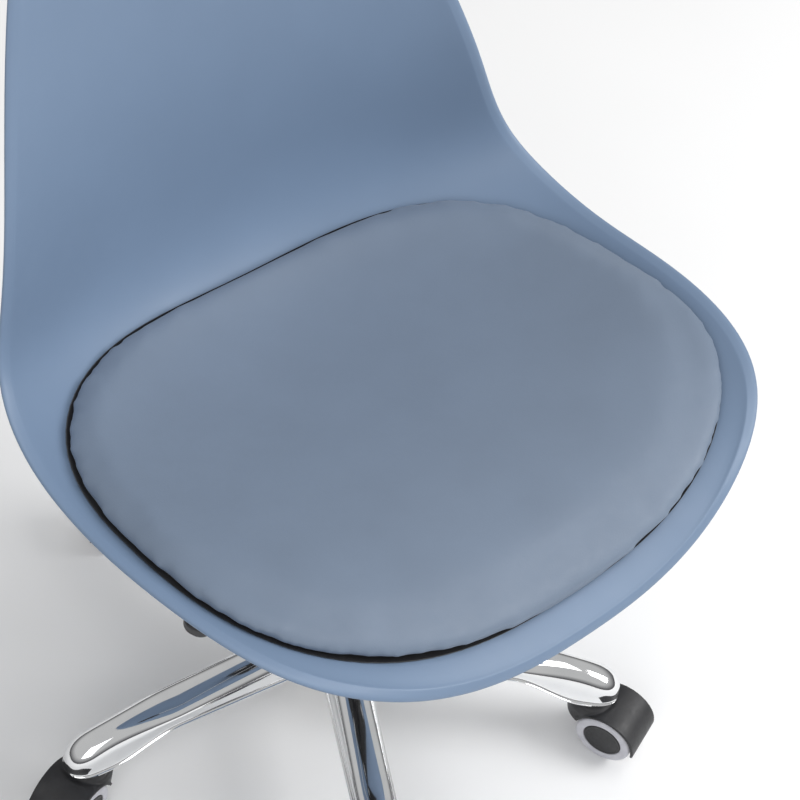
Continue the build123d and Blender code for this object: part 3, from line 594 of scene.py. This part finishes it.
def build_shell():
    places = rim_loop(RIM_POINTS)
    frames = rim_frames(places)
    band = [moved_inside(x, t, -f[1], RIM_BAND) for (x, t), f in zip(places, frames)]
    upper, lower = [], []
    for i in range(1, SHELL_RINGS + 1):
        share = i / SHELL_RINGS
        for x, t in band:
            place = (x * share, SHELL_CENTRE + (t - SHELL_CENTRE) * share)
            point, normal = shell_point(*place), shell_normal(*place)
            upper.append(point)
            lower.append(point - normal * SHELL_WALL)
    verts = list(upper)
    for out, up in LIP_SECTION:
        for point, outward, normal in frames:
            verts.append(point + outward * out + normal * up)
    count = RIM_POINTS
    for i in reversed(range(SHELL_RINGS)):
        verts += lower[i * count:(i + 1) * count]
    rings = len(verts) // count
    faces = ring_faces(rings, count)
    top = shell_point(0, SHELL_CENTRE)
    verts += [top, top - shell_normal(0, SHELL_CENTRE) * SHELL_WALL]
    faces += fan(len(verts) - 2, 0, count)
    faces += fan(len(verts) - 1, (rings - 1) * count, count)
    mesh = clean_mesh("shell", verts, faces)
    add_piece("shell", mesh, MATERIALS["shell_plastic"], "seat", ["seat_shell"], 1)


def surface_at(x, y):
    """The shell's point and normal over a place in plan, on the seat part."""
    low, high = 0.0, CUSHION_PROFILE_END
    for _ in range(26):
        middle = (low + high) / 2
        if shell_point(x, middle).y < y:
            low = middle
        else:
            high = middle
    return shell_point(x, low), shell_normal(x, low)


def build_bosses():
    """Screw bosses under the shell, flared into it."""
    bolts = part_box("seat_bolts")
    half_x = bolts[1][0] / MM - BOLT_EDGE
    half_y = bolts[1][1] / MM - BOLT_EDGE
    verts, faces = [], []
    for side_x in (-1, 1):
        for side_y in (-1, 1):
            place = Vector((side_x * half_x, side_y * half_y, 0))
            top = surface_at(place.x, place.y)[0].z - SHELL_WALL + BOSS_SINK
            profile = rounded([
                (BOSS_BORE, PLATE_TOP), (BOSS_RADIUS, PLATE_TOP), (BOSS_RADIUS, top - 3.0),
                (BOSS_RADIUS + BOSS_FLARE, top), (BOSS_BORE, top),
            ], 1.6, closed=True)
            part, part_faces = lathe(profile, 48, closed=True)
            start = len(verts)
            verts += [v + place for v in part]
            faces += [tuple(i + start for i in face) for face in part_faces]
    mesh = clean_mesh("shell_bosses", verts, faces)
    add_piece("shell_bosses", mesh, MATERIALS["shell_plastic"], "seat")


# ---------------------------------------------------------------- cushion
# Cross-section of the edge, from the top round to the underside: share of the outline, share of the
# edge's height.
EDGE_SECTION = [(0.955, 1.0), (0.975, 0.93), (0.990, 0.78), (0.998, 0.56), (0.998, 0.36), (0.988, 0.14),
                (0.968, 0.0)]
TOP_SHARES = [0.07 * i for i in range(1, 14)] + [0.935]


def cushion_place(spoke, share):
    """Plan position on one spoke of the cushion's rounded square."""
    angle = 2 * pi * spoke / CUSHION_SPOKES
    across, along = sin(angle), -cos(angle)
    half_depth = (CUSHION_FRONT + CUSHION_BACK) / 2
    power = CUSHION_CORNER_POWER
    reach = (abs(across / CUSHION_HALF_WIDTH) ** power + abs(along / half_depth) ** power) ** (-1 / power)
    middle = (CUSHION_BACK - CUSHION_FRONT) / 2
    return reach * share * across, middle + reach * share * along


def cushion_ring(share, height):
    ring = []
    for spoke in range(CUSHION_SPOKES):
        point, normal = surface_at(*cushion_place(spoke, share))
        ring.append(point + normal * height)
    return ring


def cushion_mesh(shrink):
    """Closed cushion form; shrink leaves room to swell, in millimetres."""
    verts = []
    crown = CUSHION_CROWN - shrink
    for share in TOP_SHARES:
        verts += cushion_ring(share, CUSHION_EDGE + crown * (1 - share ** CUSHION_CROWN_POWER))
    for share, height in EDGE_SECTION:
        top = CUSHION_EDGE + crown * (1 - share ** CUSHION_CROWN_POWER)
        verts += cushion_ring(
            share - shrink / CUSHION_CORNER_REACH, CUSHION_GAP + (top - CUSHION_GAP) * height
        )
    for share in reversed(TOP_SHARES):
        verts += cushion_ring(share, CUSHION_GAP)
    rings = len(verts) // CUSHION_SPOKES
    faces = ring_faces(rings, CUSHION_SPOKES)
    middle = (CUSHION_BACK - CUSHION_FRONT) / 2
    point, normal = surface_at(0, middle)
    verts += [point + normal * (CUSHION_EDGE + crown), point + normal * CUSHION_GAP]
    faces += fan(len(verts) - 2, 0, CUSHION_SPOKES)
    faces += fan(len(verts) - 1, (rings - 1) * CUSHION_SPOKES, CUSHION_SPOKES)
    return clean_mesh("cushion", verts, faces)


def swollen(mesh, voxel_mm, pressure, cap_mm, frames=20):
    """The mesh after a short cloth simulation under inner pressure, capped point by point and smoothed."""
    obj = scratch_object("swelling", mesh)
    remesh = obj.modifiers.new("Remesh", "REMESH")
    remesh.mode = "VOXEL"
    remesh.voxel_size = voxel_mm * MM
    even = applied_mesh(obj, "cushion_even")
    start = [v.co.copy() for v in even.vertices]
    obj = scratch_object("swelling", even)
    cloth = obj.modifiers.new("Cloth", "CLOTH")
    cloth.settings.use_pressure = True
    cloth.settings.uniform_pressure_force = pressure
    cloth.settings.quality = 6
    cloth.settings.mass = 0.3
    cloth.settings.tension_stiffness = 20.0
    cloth.settings.bending_stiffness = 2.0
    cloth.settings.effector_weights.gravity = 0.0
    cloth.collision_settings.use_collision = False
    scene = bpy.context.scene
    for number in range(1, frames + 1):
        scene.frame_set(number)
    result = applied_mesh(obj, "cushion")
    scene.frame_set(1)
    for vertex, before in zip(result.vertices, start):
        step = vertex.co - before
        if step.length > cap_mm * MM:
            vertex.co = before + step.normalized() * cap_mm * MM
    obj = scratch_object("swelling", result)
    smooth = obj.modifiers.new("Smooth", "SMOOTH")
    smooth.factor = 0.5
    smooth.iterations = SWELL_SMOOTHING
    return applied_mesh(obj, "cushion")


def keep_off_shell(mesh, clearance_mm):
    """Lifts every point that has sunk nearer to the shell than the clearance."""
    for vertex in mesh.vertices:
        point = vertex.co / MM
        base, normal = surface_at(point.x, point.y)
        height = (point - base).dot(normal)
        if height < clearance_mm:
            vertex.co += normal * (clearance_mm - height) * MM


def build_cushion():
    mesh = swollen(cushion_mesh(SWELL_ROOM), SWELL_VOXEL, SWELL_PRESSURE, SWELL_CAP)
    keep_off_shell(mesh, CUSHION_GAP)
    mesh.shade_smooth()
    cushion = add_piece(
        "cushion", mesh, MATERIALS["cushion_leather"], "seat",
        ["cushion_cover", "cushion_foam"], 1,
    )


def build_cushion_underside_shade():
    """Near-black cloth panel between the cushion and the shell: a real underside cloth, also painted shade
    for the dark gap.
    """
    shares = [0.1 * i for i in range(1, 10)] + [0.955, 0.972]
    verts = []
    for share in shares:
        # the panel fills the gap so that its near-black colour paints the shade there
        verts += cushion_ring(share, CUSHION_GAP - BASE_DROP)
    for share in reversed(shares):
        verts += cushion_ring(share, BASE_LIFT)
    rings = len(verts) // CUSHION_SPOKES
    faces = ring_faces(rings, CUSHION_SPOKES)
    middle = (CUSHION_BACK - CUSHION_FRONT) / 2
    point, normal = surface_at(0, middle)
    verts += [point + normal * (CUSHION_GAP - BASE_DROP), point + normal * BASE_LIFT]
    faces += fan(len(verts) - 2, 0, CUSHION_SPOKES)
    faces += fan(len(verts) - 1, (rings - 1) * CUSHION_SPOKES, CUSHION_SPOKES)
    mesh = clean_mesh("cushion_underside_shade", verts, faces)
    add_piece("cushion_underside_shade", mesh, GAP_SHADE_FELT, "seat")


# ---------------------------------------------------------------- base
def leg_station(place):
    """Top and bottom above the leg's end face, and half width, at a distance from the hub's axis."""
    bend = NOSE_RADIUS - LEG_BEND_LENGTH
    slope = LEG_SLOPE * (place - HUB_RADIUS) / (bend - HUB_RADIUS)
    top = LEG_RISE - min(slope, LEG_SLOPE)
    if place > bend:
        share = (place - bend) / LEG_BEND_LENGTH
        curve = max(1 - share ** LEG_CURVE_POWER, 0.0) ** (1 / LEG_CURVE_POWER)
        top = LEG_NOSE_TOP + (top - LEG_NOSE_TOP) * curve
    stem = NOSE_RADIUS - STEM_INSET
    arch = min(max((stem - LEG_ARCH_START - place) / LEG_ARCH_LENGTH, 0.0), 1.0)
    bottom = LEG_ARCH * arch * arch * (3 - 2 * arch)
    half = LEG_HALF_WIDTH - LEG_TAPER * place / NOSE_RADIUS
    tip = (place - (NOSE_RADIUS - LEG_NOSE_ROUND)) / LEG_NOSE_ROUND
    if tip > 0:
        half *= max(1 - tip ** LEG_CURVE_POWER, 0.0) ** (1 / LEG_CURVE_POWER)
    return top, bottom, half


def leg_section(place):
    """Closed cross-section of the pressing, as (sideways, up) pairs."""
    top, bottom, half = leg_station(place)
    half = max(half, 0.6)
    shrink = min(half / LEG_HALF_WIDTH, 1.0)
    flange = LEG_FLANGE * shrink ** 0.5
    wall = min(LEG_WALL, half * 0.5)
    shoulder = bottom + LEG_SHOULDER * (top - bottom)
    outer = [(half + flange, bottom), (half + flange, bottom + 1.7), (half + 0.5 * flange, bottom + 2.1),
             (half, bottom + min(3.6, 0.5 * (shoulder - bottom) + 2.0))]
    bow = 2 / LEG_SECTION_POWER
    for i in range(LEG_SECTION_STEPS + 1):
        angle = pi / 2 * i / LEG_SECTION_STEPS
        outer.append((half * cos(angle) ** bow, shoulder + (top - shoulder) * sin(angle) ** bow))
    inner = []
    for i in range(LEG_SECTION_STEPS + 1):
        angle = pi / 2 * (1 - i / LEG_SECTION_STEPS)
        reach = max(top - shoulder - wall, 0.5)
        inner.append(((half - wall) * cos(angle) ** bow, shoulder + reach * sin(angle) ** bow))
    inner.append((half - wall, bottom + 1.0))
    inner.append((half - wall, bottom))
    mirrored_outer = [(-u, v) for u, v in reversed(outer[:-1])]
    mirrored_inner = [(-u, v) for u, v in reversed(inner[1:])]
    return outer + mirrored_outer + mirrored_inner + inner


def build_leg(index):
    """One arched leg, from inside the hub's skin to its rounded nose."""
    heading = radians(leg_heading(index))
    turn = Matrix.Rotation(heading, 4, "Z")
    start = HUB_RADIUS - 1.5
    last = LEG_STATIONS - 1
    stations = [start + (NOSE_RADIUS - start) * sin(pi / 2 * i / last) for i in range(LEG_STATIONS)]
    verts = []
    for place in stations:
        for sideways, up in leg_section(place):
            verts.append(turn @ Vector((place, sideways, LEG_END_Z + up)))
    count = len(verts) // len(stations)
    faces = ring_faces(len(stations), count)
    faces.append(tuple(range(count)))
    faces.append(tuple(reversed(range(len(verts) - count, len(verts)))))
    name = f"leg_{index}_skin"
    mesh = clean_mesh(name, verts, faces)
    mesh.set_sharp_from_angle(angle=radians(METAL_CREASE))
    add_piece(name, mesh, MATERIALS["chrome"], "base", [f"leg_{index}"])


def leg_heading(index):
    """Degrees from +X, taken from the caster's swivel."""
    place = JOINTS[f"caster_{index}_swivel"]["pos_m"]
    return degrees(atan2(place[1], place[0]))


def build_hub():
    profile = rounded([
        (TUBE_RADIUS + 0.1, HUB_TOP - 1.0), (TUBE_RADIUS + 1.6, HUB_TOP), (HUB_RADIUS, HUB_TOP - 0.4),
        (HUB_RADIUS, HUB_LOW), (TUBE_RADIUS - 0.2, HUB_LOW),
    ], 1.8, closed=True)
    verts, faces = lathe(profile, 128, closed=True)
    mesh = clean_mesh("hub", verts, faces)
    add_piece("hub", mesh, MATERIALS["chrome"], "base", ["base_hub"])


def build_welds():
    """Narrow weld bead where each leg meets the hub."""
    verts, faces = [], []
    around_steps = 8
    for index in range(1, CASTER_COUNT + 1):
        turn = Matrix.Rotation(radians(leg_heading(index)), 4, "Z")
        top, bottom, half = leg_station(HUB_RADIUS)
        path = []
        shoulder = bottom + LEG_SHOULDER * (top - bottom)
        for i in range(WELD_STEPS + 1):
            angle = pi * i / WELD_STEPS
            side = cos(angle)
            path.append((half * (abs(side) ** 0.9) * (1 if side >= 0 else -1),
                         shoulder + (top - shoulder) * sin(angle) ** 0.9))
        path = [(half, bottom + 2.0)] + path + [(-half, bottom + 2.0)]
        start = len(verts)
        for sideways, up in path:
            reach = (HUB_RADIUS ** 2 - sideways ** 2) ** 0.5
            centre = Vector((reach + 0.3, sideways, LEG_END_Z + up))
            radial = Vector((sideways, up - shoulder * 0.6)).normalized()
            for k in range(around_steps):
                angle = 2 * pi * k / around_steps
                offset = Vector((cos(angle), sin(angle) * radial.x, sin(angle) * radial.y)) * WELD_RADIUS
                verts.append(turn @ (centre + offset))
        part = ring_faces(len(path), around_steps)
        part.append(tuple(range(around_steps)))
        part.append(tuple(reversed(range((len(path) - 1) * around_steps, len(path) * around_steps))))
        faces += [tuple(i + start for i in face) for face in part]
    mesh = clean_mesh("hub_welds", verts, faces)
    add_piece("hub_welds", mesh, MATERIALS["chrome"], "base")


# ---------------------------------------------------------------- casters
def caster_matrix(index):
    """Stem axis on Z and the wheels towards +X, turned and placed as the joints say."""
    stem = Vector(JOINTS[f"caster_{index}_swivel"]["pos_m"])
    wheel = Vector(JOINTS[f"caster_{index}_roll_left"]["pos_m"])
    heading = atan2(wheel.y - stem.y, wheel.x - stem.x)
    return Matrix.Translation(Vector((stem.x, stem.y, 0)) / MM) @ Matrix.Rotation(heading, 4, "Z")


def trail():
    stem = Vector(JOINTS["caster_1_swivel"]["pos_m"])
    wheel = Vector(JOINTS["caster_1_roll_left"]["pos_m"])
    return (wheel - stem).xy.length / MM


def wheel_place(side):
    """Turns a lathe's Z to the side, with the axle at its height."""
    return Matrix.Translation((trail(), 0, AXLE_Z)) @ Matrix.Rotation(-side * pi / 2, 4, "X")


def tread_form():
    inner = WHEEL_RADIUS - TREAD_DEPTH
    profile = [(inner, WHEEL_INNER_FACE), (WHEEL_RADIUS, WHEEL_INNER_FACE), (WHEEL_RADIUS, WHEEL_OUTER_FACE),
               (inner + 0.2, WHEEL_OUTER_FACE - 0.1), (inner, WHEEL_OUTER_FACE - 1.2)]
    return lathe(rounded(profile, TREAD_ROUND, 6, closed=True), 96, closed=True)


def hub_cap_form():
    """Flat cap, a shallow step near its edge, and the wheel's body behind it."""
    rim = WHEEL_RADIUS - TREAD_DEPTH - 0.15
    face = WHEEL_OUTER_FACE
    profile = [(0, face - 0.5), (rim - 2.2, face - 0.5), (rim - 1.8, face - 0.15), (rim - 0.6, face - 0.15),
               (rim, face - 0.9), (rim, WHEEL_INNER_FACE), (rim - 2.4, WHEEL_INNER_FACE),
               (rim - 2.4, face - 3.0),
               (AXLE_RADIUS + 3.0, face - 3.0), (AXLE_RADIUS + 3.0, WHEEL_INNER_FACE),
               (AXLE_RADIUS + 0.1, WHEEL_INNER_FACE), (AXLE_RADIUS + 0.1, face - 2.2), (0, face - 2.2)]
    return lathe(rounded(profile, 0.5, 3), 96)


def prism(outline, low, high):
    """Closed prism along Y from an (x, z) outline."""
    count = len(outline)
    verts = [Vector((x, y, z)) for y in (low, high) for x, z in outline]
    faces = ring_faces(2, count) + [tuple(range(count)), tuple(reversed(range(count, 2 * count)))]
    return verts, faces


def hood_mesh():
    """Fender band, round turret about the stem and middle web, joined and hollowed for the wheels."""
    axle = Vector((trail(), AXLE_Z))
    steps = 40

    def circle(radius, first=0.0, last=2 * pi):
        return [tuple(axle + Vector((cos(a), sin(a))) * radius)
                for a in (first + (last - first) * i / steps for i in range(steps + 1))]

    band = circle(HOOD_OUTER, 0.02, pi - 0.3) + list(reversed(circle(HOOD_INNER - 1.0, 0.02, pi - 0.3)))
    web = circle(HOOD_INNER, 0.0, pi)
    turret = lathe(rounded([
        (0, HOOD_LOW), (TURRET_RADIUS - 1.5, HOOD_LOW), (TURRET_RADIUS, 46.0), (TURRET_RADIUS - 1.6, 52.6),
        (15.0, 54.4), (13.2, COLLAR_TOP - 0.2), (10.6, COLLAR_TOP - 0.2), (9.6, 53.0), (0, 53.0),
    ], 1.6), 96)
    solids = [
        prism(band, -HOOD_HALF_WIDTH, HOOD_HALF_WIDTH),
        prism(web[:-1], -HOOD_WEB_HALF, HOOD_WEB_HALF),
        turret,
    ]
    cutters = [
        prism(circle(HOOD_INNER)[:-1], HOOD_WEB_HALF, HOOD_HALF_WIDTH + 5),
        prism(circle(HOOD_INNER)[:-1], -HOOD_HALF_WIDTH - 5, -HOOD_WEB_HALF),
        lathe([(0, HOOD_LOW - 9), (4.1, HOOD_LOW - 9), (4.1, 60.0), (0, 60.0)], 48),
    ]
    body = scratch_object("hood", clean_mesh("hood", *solids[0]))
    helpers = []
    for shapes, operation in ((solids[1:], "UNION"), (cutters, "DIFFERENCE")):
        for shape in shapes:
            helper = scratch_object("helper", clean_mesh("helper", *shape))
            helpers.append(helper)
            modifier = body.modifiers.new("Cut", "BOOLEAN")
            modifier.operation = operation
            modifier.solver = "EXACT"
            modifier.object = helper
    remesh = body.modifiers.new("Remesh", "REMESH")
    remesh.mode = "VOXEL"
    remesh.voxel_size = HOOD_VOXEL * MM
    smooth = body.modifiers.new("Smooth", "SMOOTH")
    smooth.factor = 0.5
    smooth.iterations = 3
    mesh = applied_mesh(body, "hood")
    for helper in helpers:
        bpy.data.objects.remove(helper)
    mesh.shade_smooth()
    return mesh


def build_casters():
    hood = hood_mesh()
    for index in range(1, CASTER_COUNT + 1):
        matrix = caster_matrix(index)
        metres = Matrix.Scale(MM, 4) @ matrix @ Matrix.Scale(1 / MM, 4)
        mesh = hood.copy()
        mesh.transform(metres)
        body = f"caster_{index}"
        name = f"{body}_hood_skin"
        add_piece(name, mesh, MATERIALS["black_plastic"], body, [f"{body}_hood"])
        for side, word in ((1, "left"), (-1, "right")):
            place = matrix @ wheel_place(side)
            wheel = f"{body}_{word}"
            verts, faces = tread_form()
            mesh = clean_mesh(f"{wheel}_tyre", moved(verts, place), faces)
            mesh.set_sharp_from_angle(angle=radians(METAL_CREASE))
            add_piece(f"{wheel}_tyre", mesh, MATERIALS["grey_tread"], wheel,
                      [f"{body}_tread_{word}"])
            verts, faces = hub_cap_form()
            mesh = clean_mesh(f"{wheel}_cap", moved(verts, place), faces)
            mesh.set_sharp_from_angle(angle=radians(CAP_CREASE))
            add_piece(f"{wheel}_cap", mesh, MATERIALS["black_plastic"], wheel,
                      [f"{body}_wheel_{word}"])
    bpy.data.meshes.remove(hood)


# ---------------------------------------------------------------- studio
def add_area(name, place, aim, size, power):
    data = bpy.data.lights.new(name, "AREA")
    data.shape = "SQUARE"
    data.size = size
    data.energy = power
    light = bpy.data.objects.new(name, data)
    light.location = place
    light.rotation_euler = (Vector(aim) - Vector(place)).to_track_quat("-Z", "Y").to_euler()
    bpy.context.scene.collection.objects.link(light)


def build_studio():
    mesh = bpy.data.meshes.new("floor")
    half = FLOOR_HALF
    corners = [(-half, -half, 0), (half, -half, 0), (half, half, 0), (-half, half, 0)]
    mesh.from_pydata(corners, [], [(0, 1, 2, 3)])
    mesh.materials.append(pale_floor())
    floor = bpy.data.objects.new("floor", mesh)
    bpy.context.scene.collection.objects.link(floor)

    world = bpy.data.worlds.new("studio")
    world.use_nodes = True
    tree = world.node_tree
    background = tree.nodes["Background"]
    background.inputs["Strength"].default_value = SKY_STRENGTH
    split = tree.nodes.new("ShaderNodeSeparateXYZ")
    ramp = tree.nodes.new("ShaderNodeValToRGB")
    for element, (position, colour) in zip(ramp.color_ramp.elements, (SKY_LOW, SKY_HIGH)):
        element.position = position
        element.color = colour
    place = tree.nodes.new("ShaderNodeTexCoord")
    tree.links.new(place.outputs["Generated"], split.inputs["Vector"])
    tree.links.new(split.outputs["Z"], ramp.inputs["Fac"])
    tree.links.new(ramp.outputs["Color"], background.inputs["Color"])
    bpy.context.scene.world = world

    for name, (place, size, power) in LIGHTS.items():
        add_area(name, place, SEAT_PLACE, size, power)
    bpy.context.scene.view_settings.view_transform = "Standard"


def build_camera():
    """Looks down at the sitter's right front corner, with a slight roll."""
    azimuth, elevation, roll = radians(CAMERA_AZIMUTH), radians(CAMERA_ELEVATION), radians(CAMERA_ROLL)
    target = Vector(CAMERA_TARGET)
    back = Vector((sin(azimuth) * cos(elevation), -cos(azimuth) * cos(elevation), sin(elevation)))
    level = Vector((cos(azimuth), sin(azimuth), 0.0))
    up = back.cross(level)
    right = cos(roll) * level + sin(roll) * up
    up = cos(roll) * up - sin(roll) * level
    data = bpy.data.cameras.new("camera")
    data.lens = CAMERA_LENS
    data.sensor_width = CAMERA_SENSOR
    camera = bpy.data.objects.new("camera", data)
    rotation = Matrix((right, up, back)).transposed().to_4x4()
    camera.matrix_world = Matrix.Translation(target + back * CAMERA_DISTANCE) @ rotation
    bpy.context.scene.collection.objects.link(camera)
    bpy.context.scene.camera = camera


paint_cad_nodes()
build_camera()
build_studio()
build_shell()
build_bosses()
build_cushion_underside_shade()
build_cushion()
for leg in range(1, CASTER_COUNT + 1):
    build_leg(leg)
build_hub()
build_welds()
build_casters()
